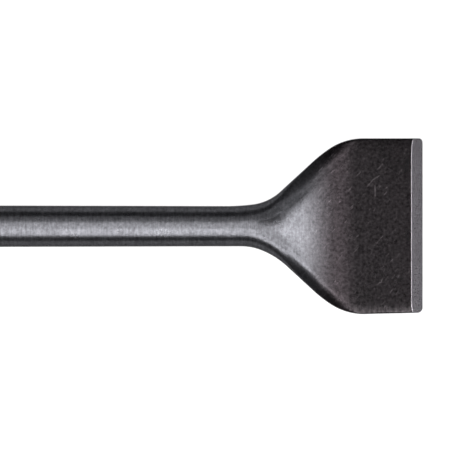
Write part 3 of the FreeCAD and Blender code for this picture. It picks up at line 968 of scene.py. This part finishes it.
# %% Run the tree and keep its mesh
modifier = source.modifiers.new("Forge", "NODES")
modifier.node_group = shape
for item in shape.interface.items_tree:
    if item.item_type == "SOCKET" and item.in_out == "INPUT" and item.name in INPUTS:
        modifier[item.identifier] = INPUTS[item.name][1]
depsgraph = bpy.context.evaluated_depsgraph_get()
chisel_mesh = bpy.data.meshes.new_from_object(source.evaluated_get(depsgraph), depsgraph=depsgraph)
chisel_mesh.name = "chisel_dressed"
source.modifiers.remove(modifier)
bpy.data.objects.remove(source)
chisel = bpy.data.objects.new("chisel_dressed", chisel_mesh)
bpy.context.scene.collection.objects.link(chisel)
print("kept", chisel.name, "with", len(chisel_mesh.polygons), "faces")

# %% [markdown]
# ## Measure the result
# A mesh made by rule is worth checking by rule: it should be closed, its faces should point
# out, which makes its volume positive, and its size should be the drawing's.

# %% Measure, and put the mesh in the solid's place
import bmesh

measured = bmesh.new()
measured.from_mesh(chisel_mesh)
open_edges = sum(not joint.is_manifold for joint in measured.edges)
volume = measured.calc_volume(signed=True) / MM ** 3
measured.free()
chisel_mesh.calc_loop_triangles()
size = [round(length / MM, 2) for length in chisel.dimensions]
print(f"{len(chisel_mesh.loop_triangles)} triangles, {open_edges} open edges")
print(f"{volume:.0f} cubic mm, {size} mm")

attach(chisel, "root")
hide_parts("chisel")

# %% [markdown]
# ## The studio
# A tool like this is photographed from straight above on a white sweep. The sheet gives the
# white background and reflects in the bar's sides, and it still takes the tool's own shadow.
# The white is a glow that only the camera, mirrors and glass see, and it adds no other light.

# %% White paper sheet
PAPER_WHITE = 0.94
SHEET_RADIUS = 4.0
SHEET_CORNERS = 96
FLOOR_HEIGHT = -SHANK_RADIUS * MM

paper, tree, shader = new_material("white_paper")
shader.inputs["Base Color"].default_value = linear("#5a5a5a")
shader.inputs["Roughness"].default_value = 0.9
shader.inputs["Emission Color"].default_value = linear("#ffffff")
ray = add(tree, "ShaderNodeLightPath").outputs
seen = ray["Is Camera Ray"]
for kind in ("Is Glossy Ray", "Is Transmission Ray"):
    seen = add(tree, "ShaderNodeMath", {0: seen, 1: ray[kind]}, operation="MAXIMUM").outputs[0]
glow = add(tree, "ShaderNodeMath", {0: seen, 1: PAPER_WHITE}, operation="MULTIPLY")
tree.links.new(glow.outputs[0], shader.inputs["Emission Strength"])

sheet_net = bmesh.new()
bmesh.ops.create_circle(sheet_net, cap_ends=True, radius=SHEET_RADIUS, segments=SHEET_CORNERS)
bmesh.ops.translate(sheet_net, verts=sheet_net.verts, vec=(0, 0, FLOOR_HEIGHT))
sheet_data = bpy.data.meshes.new("paper_sheet")
sheet_net.to_mesh(sheet_data)
sheet_net.free()
sheet_data.materials.append(paper)
sheet = bpy.data.objects.new("paper_sheet", sheet_data)
bpy.context.scene.collection.objects.link(sheet)
print(f"the paper lies {-FLOOR_HEIGHT / MM:.1f} mm under the tool's axis")

# %% [markdown]
# ## Light
# Polished or dark metal shows its lamps, so each soft box is placed by what should reflect it. A
# long one in front draws the highlight along the shaft, one overhead and one behind shade its
# other side, and those toward the cutting edge light the neck and the slope where the bar was
# pressed. Nothing hangs straight over the blade, so its flat stays dark.

# %% Soft boxes and a dim room
# Places and sizes are in metres here, because a studio is measured so
SOFT_BOXES = {
    "box_in_front": {
        "place": (0.09, -1.76, 2.43), "target": (0.17, 0.0, 0.0),
        "width": 0.49, "depth": 2.0, "watts": 52.0,
    },
    "box_over_shaft": {
        "place": (0.074, 0.01, 0.30), "target": (0.074, 0.01, 0.0),
        "width": 0.388, "depth": 0.22, "watts": 1.35,
    },
    "box_behind": {
        "place": (0.09, 1.85, 2.36), "target": (0.17, 0.0, 0.0),
        "width": 0.49, "depth": 1.78, "watts": 6.0,
    },
    "box_beyond_edge": {
        "place": (0.80, -0.10, 0.847), "target": (0.25, 0.0, 0.0),
        "width": 0.44, "depth": 0.32, "watts": 7.0,
    },
    "box_over_edge": {
        "place": (0.7035, -0.05, 1.427), "target": (0.24, 0.0, 0.0),
        "width": 0.60, "depth": 0.315, "watts": 2.6,
    },
    "box_before_neck": {
        "place": (0.52, -0.49, 1.40), "target": (0.52, -0.49, 0.0),
        "width": 0.42, "depth": 0.40, "watts": 3.8,
    },
}


def soft_box(name, place, target, width, depth, watts):
    """A rectangular area light at a place, turned to face a target."""
    data = bpy.data.lights.new(name, "AREA")
    data.shape = "RECTANGLE"
    data.size = width
    data.size_y = depth
    data.energy = watts
    light = bpy.data.objects.new(name, data)
    light.location = place
    light.rotation_euler = (Vector(target) - Vector(place)).to_track_quat("-Z", "Y").to_euler()
    bpy.context.scene.collection.objects.link(light)


for name, box in SOFT_BOXES.items():
    soft_box(name, **box)
room = bpy.data.worlds.new("dim_room")
room.use_nodes = True
room.node_tree.nodes["Background"].inputs["Color"].default_value = linear("#6a6a6c")
bpy.context.scene.world = room
print(len(SOFT_BOXES), "soft boxes in", room.name)

# %% [markdown]
# ## Camera
# The photograph looks straight down with a long lens, so the bar's sides stay parallel. The
# picture is square, and the tool's shank runs out of it on the left. The camera's height follows
# from the width of the view and the lens, as it does for a photographer.

# %% Camera straight above
VIEW_WIDTH = 195.9
VIEW_CENTRE = (219.6, 0.1)
LENS = 300.0
SENSOR = 36.0
FARTHEST = 20.0

lens_data = bpy.data.cameras.new("camera")
lens_data.lens = LENS
lens_data.sensor_width = SENSOR
lens_data.clip_end = FARTHEST
camera = bpy.data.objects.new("camera", lens_data)
camera.location = (VIEW_CENTRE[0] * MM, VIEW_CENTRE[1] * MM, VIEW_WIDTH * MM * LENS / SENSOR)
bpy.context.scene.collection.objects.link(camera)
bpy.context.scene.camera = camera
bpy.context.scene.view_settings.view_transform = "Standard"
print(f"the camera is {camera.location.z:.3f} m above the tool's axis")
